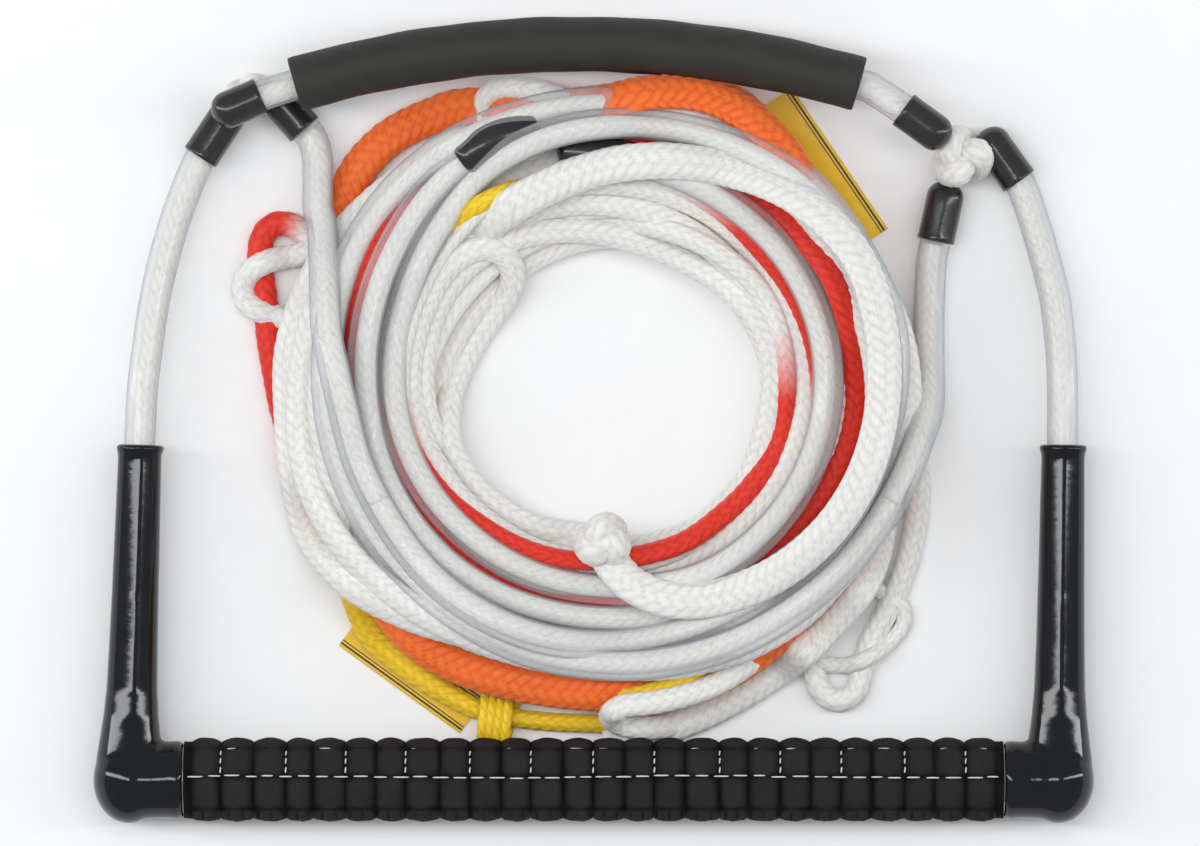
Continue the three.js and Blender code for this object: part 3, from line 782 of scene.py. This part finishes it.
class Section:
    """One section of the line: its stretches are laid at different times and then joined."""

    def __init__(self):
        self.stretches = {}

    def lay(self, key, places, half_width, half_height, step=SHOWN_STEP, tint=(), relief=0.0, press=1.2,
            sink=(0, 0), thin=(1, 1)):
        """Lay a stretch on the pile. Sink leads its ends down, and thin narrows its last stretch."""
        line = through(places, LAY_STEP)
        count = len(line)
        share = np.linspace(0, 1, count)
        half_width = np.interp(share, np.linspace(0, 1, np.size(half_width)), np.atleast_1d(half_width))
        reach, keep = thin
        left = np.arange(count)[::-1] * LAY_STEP
        half_width = half_width * np.interp(left, [reach * 0.5, reach], [keep, 1])
        z = np.maximum(eased(PILE.lay(line, half_width, half_height, press=press), SETTLING), half_height)
        columns = [line, sunk(z, half_height, *sink), half_width, np.full(count, half_height)]
        table = np.column_stack([*columns, tinted(count, tint), np.full(count, relief)])
        self.stretches[key] = even(table, step)

    def bridge(self, before, after):
        """Rows that lead round the coil from one stretch to the next."""
        outs = [row[:2] - COIL_CENTRE for row in (before, after)]
        (start, radius), (end, radius_after) = [(math.atan2(y, x), math.hypot(x, y)) for x, y in outs]
        turn = (end - start + math.pi) % (2 * math.pi) - math.pi
        count = max(3, int(abs(turn) * BRIDGE_RADIUS / SHOWN_STEP))
        share = np.linspace(0, 1, count + 1)[1:-1]
        soft = soft_step(share)
        rows = before + soft[:, None] * (after - before)
        angles = start + share * turn
        radii = radius + soft * (radius_after - radius)
        rows[:, :2] = COIL_CENTRE + radii[:, None] * np.stack([np.cos(angles), np.sin(angles)], axis=1)
        return rows

    def joined(self, keys):
        """The stretches' rows as one table, smoothed where one meets the next."""
        parts = [self.stretches[keys[0]]]
        near = [np.zeros(len(parts[0]), bool)]
        for key in keys[1:]:
            table = self.stretches[key]
            rows = self.bridge(parts[-1][-1], table[0])
            parts += [rows, table]
            near[-1][-JOINT_ROWS:] = True
            near += [np.ones(len(rows), bool), np.zeros(len(table), bool)]
            near[-1][:JOINT_ROWS] = True
        whole, near = np.vstack(parts), np.concatenate(near)
        smooth = whole.copy()
        for column in range(5):
            smooth[:, column] = eased(whole[:, column], JOINT_ROUNDS)
        mask = eased(near.astype(float), 6)[:, None]
        return whole * (1 - mask) + smooth * mask

    def build(self, name, keys, sides):
        """The braided mesh of the named stretches, and its line."""
        table = self.joined(keys)
        line = table[:, :3]
        width, height, tint, relief = table[:, 3:].T
        return rope_mesh(name, line, width, height, sides, up=lean_of(line), relief=relief, tint=tint), line


def lean_of(line):
    """Which way a flattened rope faces: up, leaning away from the middle of the mound it lies on."""
    out = line[:, :2] - COIL_CENTRE
    radius = np.linalg.norm(out, axis=1, keepdims=True)
    lean = np.clip((radius - 76) / 30, -1, 1) * np.clip(line[:, 2:3] / 30, 0, 1) * 0.9
    return np.hstack([out / radius * lean, np.ones((len(line), 1))])


def make_small_loops():
    """The white loops that lie on the surface round the coil."""
    made = []
    for name, places, half_width, half_height in SMALL_LOOPS:
        line = through(np.array(places, float), LAY_STEP)
        z = sunk(PILE.lay(line, half_width, half_height, press=0.8), half_height, LOOP_SINK, LOOP_SINK)
        line = even(np.column_stack([line, z]), SHOWN_STEP, 3)
        made.append((name, line, half_width, half_height))
    return made


def finish_small_loops(made):
    for i, (name, line, half_width, half_height) in enumerate(made):
        piece = rope_mesh(name, line, half_width, half_height, 28, relief=0.35)
        finish_piece(piece, "white", "grip", ["white_loop"] if i == 0 else [])


def make_line():
    """Lay the line's hidden turns, its loops on the surface and the turns that show, from below upwards."""
    white, red, orange, yellow = Section(), Section(), Section(), Section()
    for section, span, way, end in (
        (white, WHITE_BURIED, -1, 340), (red, RED_BURIED, 1, 245),
        (orange, ORANGE_BURIED, 1, 180), (yellow, YELLOW_BURIED, 1, 40),
    ):
        section.lay("buried", buried_turns(span, way, end), 3.9, 2.4, BURIED_STEP, relief=0.2)
    orange_places = np.vstack([round_coil(ORANGE_SHOWN), ORANGE_LOOP[::-1]])
    orange.lay("shown", orange_places, 6.1, 3.1, tint=WHOLE, relief=0.6, sink=(0, 8))
    red_places = [(-91, 60), *RED_LOOP[::-1], *round_coil(RED_LOOP_END)]
    red.lay("loop", red_places, 4.1, 2.9, tint=[(0.06, 0.56), (0.84, 1.0)], relief=0.45, sink=(10, 10))
    yellow_places = np.vstack([round_coil(YELLOW_SHOWN), YELLOW_LOOP])
    yellow.lay("shown", yellow_places, 4.9, 2.9, tint=[(0.66, 1)], relief=0.6, thin=(90, 0.62))
    yellow.lay("twist", round_coil(YELLOW_TWIST), 4.2, 2.7, tint=WHOLE, relief=0.5, sink=(12, 12))
    small_loops = make_small_loops()
    for key, table, width in (
        ("outer", WHITE_OUTER, 5.0), ("second", WHITE_SECOND, 5.0), ("third", WHITE_THIRD, 4.7),
        ("fourth", WHITE_FOURTH, 4.2), ("fifth", WHITE_FIFTH, 4.2), ("inner", WHITE_INNER, 4.2),
        ("hook", WHITE_HOOK, 4.2),
    ):
        white.lay(key, round_coil(table), width, 2.75, relief=0.24)
    red.lay("outer", round_coil(RED_OUTER), 4.5, 2.9, tint=WHOLE, relief=0.45)
    inner = round_coil(RED_INNER)
    red.lay("inner", inner, RED_INNER_WIDTHS, 2.7, tint=RED_INNER_TINT, relief=0.35, sink=(0, 10))
    return small_loops, white, red, orange, yellow


small_loops, white, red, orange, yellow = make_line()


# ---- The tails ----
LEAD_POINTS = 70
LEAD_ROUNDS = 90  # rounds of smoothing by which the lead rises to the coil in one long curve
JUNCTION_HEIGHT = 6.5
GUARD_SIDE = (84, 94)  # where the coil comes near the arm guard's swing
GUARD_ROOM = 28.5


def lay_tail(top, turns_round, room=None):
    """Laid from its far end, so that its lead comes to lie on top. Room caps it under the arm guard."""
    places = through(np.vstack([top, round_coil(turns_round)]), LAY_STEP)[::-1]
    z = PILE.lay(places, VINYL_RADIUS, VINYL_RADIUS, last=JUNCTION_HEIGHT, press=0.3)
    line = np.column_stack([places, z])[::-1]
    line[:, 2] = np.maximum(eased(line[:, 2], SETTLING), VINYL_RADIUS)
    if room is not None:
        cap = np.interp(line[:, 1], GUARD_SIDE, [room + 20, room])
        line[:, 2] = eased(np.minimum(line[:, 2], cap), 6)
    rising = line[:LEAD_POINTS, 2].copy()
    for _ in range(LEAD_ROUNDS):
        line[:LEAD_POINTS, 2] = np.maximum(rising, eased(line[:LEAD_POINTS, 2], 1))
    return line


def tube_and_rope(name, rope_name, line, lean, relief):
    """A clear tube and the rope in it, which lies off the tube's axis by the lean."""
    inner = even(line, 1.2)
    inner[:, :2] += lean(inner) if callable(lean) else lean
    return tube_mesh(name, line, VINYL_RADIUS), rope_mesh(
        rope_name, inner, ROPE_RADIUS, ROPE_RADIUS, 24, relief=relief,
    )


def make_tail(name, line):
    """A stretch of a tail, whose rope lies towards the coil's middle."""
    def inwards(inner):
        return -TAIL_LEAN * unit(inner[:, :2] - COIL_CENTRE)

    return tube_and_rope(name, name + "_rope", line, inwards, 0.06)


tail_right = lay_tail(TAIL_RIGHT_TOP, TAIL_RIGHT_TURNS, GUARD_ROOM)
orange.lay("bulge", round_coil(ORANGE_BULGE), 6.6, 3.4, tint=WHOLE, relief=0.75, press=2.0, sink=(14, 14))
TAILS = {"left": lay_tail(TAIL_LEFT_TOP, TAIL_LEFT_TURNS), "right": tail_right}
LEAD_END_Y = -26.0
APEX_POINTS = 13
TAIL_LEAN = 0.95  # how far the rope lies off its tube's axis


def sleeve_profile(length, radius=SLEEVE_RADIUS):
    """A dipped sleeve: a rolled mouth, a plain wall and a round end."""
    lip = [(-0.9, 0.6), (-0.75, 0.15), (-0.4, -0.1), (-0.05, 0.1), (0.12, 0.6), (0.05, 1.4)]
    wall = [(radius, share * length) for share in (0.2, 0.5, 0.8, 1.0)]
    angles = np.radians([15, 30, 45, 60, 75, 87])
    cap = [(radius * math.cos(a), length + radius * 0.85 * math.sin(a)) for a in angles]
    return [(radius + more, height) for more, height in lip] + wall + cap


def make_tails():
    for side, line in TAILS.items():
        split = int(np.argmax(line[:, 1] < LEAD_END_Y))
        lead_line, coiled_line = even(line[:split + 1], 2.0), even(line[split:], 2.0)
        lead, lead_rope = make_tail(f"tail_{side}_lead", lead_line)
        coiled, coiled_rope = make_tail(f"tail_{side}_coiled", coiled_line)
        beyond = coiled_line[-1] + (coiled_line[-1] - coiled_line[-2]) * 2.2
        wrapped = even(np.vstack([coiled_line[-APEX_POINTS:], beyond]), 1.0, 3)
        place = np.arange(len(wrapped))
        shape = np.interp(place, [0, 0.8, 2, 3.5], [5.4, 6.1, 6.3, SLEEVE_RADIUS])
        shape *= np.sqrt(np.clip(place[::-1] / 3 + 0.01, 0, 1))
        apex = tube_mesh(f"apex_sleeve_{side}", wrapped, shape, sides=40)
        finish_piece(apex, "sleeve", "grip")
        finish_piece(coiled, "vinyl", "grip", ["coil_bridle_tails"] if side == "left" else [])
        finish_piece(coiled_rope, "white", "grip")
        finish_piece(lead, "vinyl", None, [f"tail_{side}"])
        finish_piece(lead_rope, "white", None)
        for piece in (lead, lead_rope):
            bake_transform(piece)


make_tails()

yellow.lay("patch", round_coil(YELLOW_PATCH), 3.1, 2.5, tint=WHOLE, relief=0.35, press=2.6, sink=(10, 10))

# The doubled boat end is laid last, over the tails.
white.lay("thick", round_coil(WHITE_THICK[::-1]), 6.1, 3.5, relief=0.35, press=2.0, sink=(0, 14))


def finish_line():
    """Build the line's cords, each with its material and the CAD nodes that it replaces."""
    boat_knot, wrap = make_boat_knot(), make_wrap()
    label_upper, label_lower = make_labels()
    keys = ["buried", "shown"]
    white_keys = ["buried", "outer", "second", "third", "fourth", "fifth", "inner", "hook", "thick"]
    for name, section, stretches, sides, look, stands_for in (
        ("line_white_section", white, white_keys, 28, "white", ["coil_main_section"]),
        ("line_red_section", red, ["buried", "outer", "inner"], 28, "red", ["coil_red_section"]),
        ("line_red_loop", red, ["loop"], 28, "red", ["red_loop"]),
        ("line_orange_bulge", orange, ["bulge"], 36, "orange", []),
        ("line_yellow_inside", yellow, ["patch"], 28, "yellow", []),
        ("line_yellow_twist", yellow, ["twist"], 28, "yellow", []),
        ("line_orange_section", orange, keys, 32, "orange", ["coil_orange_section", "orange_loop"]),
        ("line_yellow_section", yellow, keys, 32, "yellow", ["coil_yellow_section", "yellow_loop"]),
    ):
        piece, line = section.build(name, stretches, sides)
        finish_piece(piece, look, "grip", stands_for)


# ---- Boots ----
def spheroid(centre, half, rings=28, sides=48):
    latitude = np.linspace(-math.pi / 2, math.pi / 2, rings + 2)[1:-1]
    angle = around(sides)
    x = np.cos(latitude)[:, None] * np.cos(angle)
    y = np.cos(latitude)[:, None] * np.sin(angle)
    z = np.broadcast_to(np.sin(latitude)[:, None], x.shape)
    spots = np.stack([x, y, z], axis=-1).reshape(-1, 3)
    spots = np.vstack([spots, [[0, 0, -1], [0, 0, 1]]]) * half + centre
    return spots, np.vstack([tube_faces(rings, sides), cap_faces(rings, sides)])


def rod(start, end, radii, shares, sides=48):
    """A closed turned rod between two points, with a radius at each share of its length."""
    start, end = np.array(start, float), np.array(end, float)
    _, circle = circle_across(start, end, sides)
    centres = start + np.array(shares)[:, None] * (end - start)
    spots = (centres[:, None, :] + np.array(radii)[:, None, None] * circle).reshape(-1, 3)
    spots = np.vstack([spots, [start, end]])
    return spots, np.vstack([tube_faces(len(radii), sides), cap_faces(len(radii), sides)])


def fused(name, parts, voxel, smoothing):
    """One skin round the overlapping parts."""
    rough = new_mesh(name + "_rough", *gathered(parts))
    remesh = rough.modifiers.new("remesh", "REMESH")
    remesh.mode = "VOXEL"
    remesh.voxel_size = voxel * MM
    remesh.use_smooth_shade = True
    smooth = rough.modifiers.new("smooth", "SMOOTH")
    smooth.factor = 0.5
    smooth.iterations = smoothing
    ready = rough.evaluated_get(bpy.context.evaluated_depsgraph_get())
    data = bpy.data.meshes.new_from_object(ready)
    data.name = name
    bpy.data.objects.remove(rough)
    piece = bpy.data.objects.new(name, data)
    bpy.context.scene.collection.objects.link(piece)
    return piece


def make_boots():
    neck_radii = [13.2, 13.0, 12.7, 12.75, 13.05, 12.9, NECK["radius"]]
    profile = BOOT_PROFILE + [(radius, BOOT_TOP + height) for radius, height in BOOT_LIP]
    radii, shares = [radius for radius, _ in profile], [height / BOOT_TOP for _, height in profile]
    for side, way in (("left", -1), ("right", 1)):
        corner = np.array([way * ELBOW["x"], BAR["y"], BAR["z"]])
        tall = rod(corner, BOOT_MOUTH[side], radii, shares)
        elbow = spheroid(corner, (ELBOW["half_width"], ELBOW["radius"], 13.4))
        neck_end = corner * (0, 1, 1) + (way * NECK["start"], 0, 0)
        neck = rod(corner, neck_end, neck_radii, [0, 0.3, 0.6, 0.75, 0.86, 0.95, 1])
        boot = fused(f"boot_skin_{side}", [tall, elbow, neck], 0.8, 8)
        finish_piece(boot, "pvc", "grip", [f"boot_{side}"])


# ---- Grip cover ----
SEAMS = {"stitch": math.radians(7), "far": math.radians(56), "near": math.radians(-46)}
CELLS = COVER["cells"]
CELL_EDGES = np.linspace(-COVER["half"] + 2.5, COVER["half"] - 2.5, CELLS + 1)
CELL_EDGES[1:-1] += RNG.normal(0, 0.45, CELLS - 1)
RIPPLES = RNG.uniform(0, 2 * math.pi, (6, 2))


def half_turns(angle):
    """The same angles between minus and plus half a turn."""
    return np.mod(angle + math.pi, 2 * math.pi) - math.pi


def cover_radius(x, turn):
    """The quilted cover's radius at a place along the bar and an angle from straight up towards the guard."""
    x, turn = np.broadcast_arrays(np.asarray(x, float), np.asarray(turn, float))
    cell = np.clip(np.searchsorted(CELL_EDGES, x, side="right") - 1, 0, CELLS - 1)
    along = np.clip((x - CELL_EDGES[cell]) / (CELL_EDGES[cell + 1] - CELL_EDGES[cell]), 0, 1)
    inside = (x > CELL_EDGES[0]) & (x < CELL_EDGES[-1])
    pillow = np.where(inside, np.sin(math.pi * along) ** 0.55, 0.25)
    turn = half_turns(turn)
    nearest = np.min([np.abs(half_turns(turn - seam)) for seam in SEAMS.values()], axis=0)
    panel = np.clip(nearest / math.radians(13), 0, 1) ** 0.5
    bulge = np.exp(-((turn - math.radians(82)) / math.radians(24)) ** 2)
    ruffle = np.exp(-((turn - SEAMS["near"] + math.radians(17)) / math.radians(11)) ** 4)
    teeth = np.abs(np.sin(2.5 * math.pi * along + cell)) ** 0.7 - 0.45
    wave = sum(np.sin(x * (0.31 + 0.17 * i) + a + (1 + i % 3) * turn + b) for i, (a, b) in enumerate(RIPPLES))
    raised = 1.3 * pillow * (0.2 + 0.8 * panel) + 0.45 * bulge * pillow + 1.6 * ruffle * teeth * inside
    return np.maximum(COVER["groove"] + raised + 0.035 * wave, COVER["least"])


def on_cover(x, turn, out=0.0):
    radius = cover_radius(x, turn) + out
    y, z = BAR["y"] + radius * np.sin(turn), BAR["z"] + radius * np.cos(turn)
    return np.stack([x + 0 * radius, y, z], axis=-1)


def make_cover():
    rings, sides = CELLS * 22 + 20, 144
    x = np.linspace(-COVER["half"], COVER["half"], rings)[:, None]
    turn = around(sides)[None, :]
    spots = on_cover(x, turn)
    cover = ring_mesh("grip_quilting", spots)
    # The crease attribute: how deep a point lies in a groove, the mask for the painted shade there.
    depth = np.clip((13.3 - cover_radius(x, turn)) / 0.75, 0, 1)
    store(cover, "crease", "FLOAT", depth.ravel())
    finish_piece(cover, "suede", "grip", ["grip_cover"])


def stitches(name, ends, radius):
    """Short rounded stitches, each between two points."""
    shares = np.array([0, 0.08, 0.25, 0.5, 0.75, 0.92, 1])
    sizes = radius * np.array([0.35, 0.8, 1, 1.05, 1, 0.8, 0.35])
    parts = [rod(start, end, sizes, shares, sides=8) for start, end in ends]
    return finish_piece(new_mesh(name, *gathered(parts)), "thread", "grip")


def make_stitching():
    ends = []
    x = -COVER["half"] + 1.5
    while x < COVER["half"] - 5:
        length = RNG.uniform(3.6, 5.4)
        drift = math.radians(1.4) * math.sin(0.045 * x) + math.radians(RNG.normal(0, 0.5))
        pair = np.array([x, x + length])
        ends.append(on_cover(pair, SEAMS["stitch"] + drift, 0.12))
        x += length + RNG.uniform(1.2, 2.2)
    for i, edge in enumerate(CELL_EDGES[1:-1]):
        if i % 2 == 0:
            for share in (0.12, 0.42, 0.72):
                low = SEAMS["stitch"] + share * (SEAMS["far"] - SEAMS["stitch"])
                start, end = on_cover(edge, low, 0.15), on_cover(edge + 0.2, low + math.radians(9), 0.15)
                ends.append((start, end))
        if i % 3 != 1:
            pair = np.array([edge + 2.0, edge + RNG.uniform(5.0, 7.5)])
            ends.append(on_cover(pair, SEAMS["far"], 0.1))
    stitches("grip_stitching", ends, 0.26)


# ---- Bridle and arm guard ----
def make_held_tube(part, name, line, lean):
    """A clear tube and its rope that the object holds all the way, in place of the CAD pair."""
    tube, rope = tube_and_rope(name, name + "_core", line, lean, 0.1)
    finish_piece(tube, "vinyl", None, [part.format("tube")])
    finish_piece(rope, "white", None, [part.format("rope")])
    return tube, rope


def make_legs():
    for side, way in (("left", 1), ("right", -1)):
        leg = np.array(SIDES[side]["leg"], float)
        start = leg[0] - (leg[1] - leg[0]) * 0.8
        line = even(through(np.vstack([start, leg]), 2.0), 2.0, 3)
        for piece in make_held_tube(f"leg_{{}}_{side}", f"leg_{side}", line, (0.85 * way, 0)):
            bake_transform(piece)


def on_guard(degrees):
    angle = np.radians(degrees)
    return np.stack([
        GUARD["x"] + GUARD["radius"] * np.sin(angle), GUARD["y"] + GUARD["radius"] * np.cos(angle),
        np.full_like(angle, GUARD["z"]),
    ], axis=-1)


def make_guard():
    left, right = [np.array(SIDES[side]["guard_sleeve"], float) for side in ("left", "right")]
    arc = on_guard(np.linspace(-17.6, 16.9, 80))
    into_left, into_right = [sleeve[0] + (sleeve[1] - sleeve[0]) * 0.5 for sleeve in (left, right)]
    line = even(through(np.vstack([into_left, left[0], arc, right[0], into_right]), 2.0), 2.0, 3)
    for piece in make_held_tube("guard_{}", "guard", line, (0, -0.7)):
        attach(piece, "arm_guard")


def make_float():
    """The foam float: a thick-walled tube along the guard's arc, softly dented."""
    sides = 72
    start, end, inner, outer = FLOAT["from"], FLOAT["to"], FLOAT["inner"], FLOAT["outer"]
    span = np.linspace(start, end, 120)
    edge = 0.4 * math.degrees(0.5 / GUARD["radius"])
    outside = [(start, inner), (start, outer - 0.5), (start + edge, outer - 0.15)]
    outside += [(angle, outer) for angle in span[1:-1]]
    outside += [(end - edge, outer - 0.15), (end, outer - 0.5), (end, inner)]
    outside += [(angle, inner) for angle in span[::-1][1:-1:4]]
    angles, radii = np.array(outside).T
    centres = on_guard(angles)
    out = unit(centres - (GUARD["x"], GUARD["y"], GUARD["z"]))
    turn = around(sides)
    along = ((angles - start) / (end - start))[:, None]
    dents = 0.10 * np.sin(31 * along + 2 * turn + 1) + 0.08 * np.sin(57 * along - turn + 2)
    size = radii[:, None] + np.where(radii[:, None] > inner, dents, 0)
    circle = np.cos(turn)[:, None] * out[:, None, :] + np.sin(turn)[:, None] * np.array(UPWARD, float)
    spots = centres[:, None, :] + size[..., None] * circle
    faces = tube_faces(len(angles), sides, closed=True)[:, ::-1]
    foam = new_mesh("guard_foam", spots.reshape(-1, 3) * MM, faces)
    finish_piece(foam, "eva", "float", ["guard_float"])


def make_sleeves():
    for side in SIDES:
        for kind, body in (("leg", "bridle"), ("tail", "bridle"), ("guard", "arm_guard")):
            start, end = SIDES[side][f"{kind}_sleeve"]
            length = math.dist(start, end)
            sleeve = turned_mesh(f"{kind}_dipped_sleeve_{side}", sleeve_profile(length), start, end)
            finish_piece(sleeve, "sleeve", body, [f"{kind}_sleeve_{side}"])


def knot_mesh(name, centre, half, strand, spin=0.0):
    """A knot pulled tight: a closed trefoil of rope."""
    turn = np.linspace(0, 2 * math.pi, 150)
    x, y = np.sin(turn) + 2 * np.sin(2 * turn), np.cos(turn) - 2 * np.cos(2 * turn)
    x, y, z = [part / np.abs(part).max() for part in (x, y, -1.6 * np.sin(3 * turn))]
    cos, sin = math.cos(spin), math.sin(spin)
    shape = np.stack([cos * x - sin * y, sin * x + cos * y, z], axis=1)
    line = np.array(centre) + shape * (np.array(half) - 0.75 * strand)
    up = line - np.array(centre) + (0, 0, 0.01)
    return rope_mesh(name, line, strand, 0.8 * strand, 24, up=up, relief=0.45, yarns=8, lay=26)


def make_knots():
    for side, spin in (("left", 0.4), ("right", 1.3)):
        centre, half = SIDES[side]["knot"]
        knot = knot_mesh(f"bridle_knot_{side}", centre, half, 4.4 if side == "right" else 3.8, spin)
        finish_piece(knot, "white", "bridle", [f"junction_knot_{side}"])


def make_boat_knot():
    height = float(PILE.heights[int(KNOT[0]) + Pile.REACH, int(KNOT[1]) + Pile.REACH])
    centre = (KNOT[0], KNOT[1], min(height + 1.0, 50))
    knot = knot_mesh("boat_knot", centre, (9.4, 9.2, 7.5), 5.0, 0.8)
    return finish_piece(knot, "white", "grip", ["boat_end_knot"])


def make_wrap():
    """Whipping round the yellow loop where its strands come together."""
    middle, wide, high = np.array([-32.0, -98.9]), 7.4, 4.3
    axis = np.array([0.985, -0.174])
    across = np.array([0.174, 0.985])
    turn = np.linspace(0, 2 * math.pi * 4, 220)
    along = np.linspace(-5.2, 5.2, len(turn))
    spots = middle + along[:, None] * axis + (wide * np.cos(turn))[:, None] * across
    line = np.column_stack([spots, high + 0.6 + high * np.sin(turn)])
    out = np.column_stack([np.cos(turn)[:, None] * across, np.sin(turn)])
    wrap = rope_mesh("yellow_whipping", line, 1.6, 0.9, 14, up=out, relief=0.2, tint=1.0, yarns=4, lay=14)
    finish_piece(wrap, "yellow", "grip", ["yellow_wrap"])
    return wrap


LABEL_WIDTH = 15
LABEL_THICKNESS = 0.4


def make_labels():
    """Two blank strips of film, slightly curled."""
    made = []
    for name, start, end, way in (
        ("upper", (65.5, 110.6), (97.4, 63.9), -1), ("lower", (-84.4, -74.2), (-44.4, -103.2), 1),
    ):
        start, end = np.array(start, float), np.array(end, float)
        length = np.linalg.norm(end - start)
        axis = (end - start) / length
        side = np.array([-axis[1], axis[0]]) * way
        along, across = np.linspace(0, 1, 60)[:, None], np.linspace(0, LABEL_WIDTH, 24)[None, :]
        flat = start + (along * length)[..., None] * axis + across[..., None] * side
        curl = 0.5 + 0.35 * np.sin(math.pi * along) * np.cos(across * 0.25)
        spots = np.concatenate([flat, curl[..., None]], axis=-1)
        ring = np.concatenate([spots, (spots - (0, 0, LABEL_THICKNESS))[:, ::-1]], axis=1)
        strip = ring_mesh(f"label_{name}", ring)
        across = np.concatenate([across, across[:, ::-1]], axis=1)
        edge = np.broadcast_to(np.minimum(across, LABEL_WIDTH - across), ring.shape[:2])
        store(strip, "from_edge", "FLOAT", edge)
        made.append(finish_piece(strip, "label", "grip", [f"label_strip_{name}"]))
    return made


CARRIED_OVER = {
    "handle_bar": "aluminium", "bar_float_core": "core", "bar_rope": "thread", "grip_underlay": "nylon",
    "end_plug_left": "nylon", "end_plug_right": "nylon", "tube_stub_left": "plastic",
    "tube_stub_right": "plastic",
    "tail_tube_end_left": "plastic", "tail_tube_end_right": "plastic", "tail_rope_end_left": "thread",
    "tail_rope_end_right": "thread",
}


def dress_cad():
    for name, look in CARRIED_OVER.items():
        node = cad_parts[name]
        for place in node.material_slots:
            place.material = MATERIALS[look]


make_boots()
make_cover()
make_stitching()
make_legs()
make_guard()
make_float()
make_sleeves()
make_knots()
dress_cad()
finish_line()
finish_small_loops(small_loops)
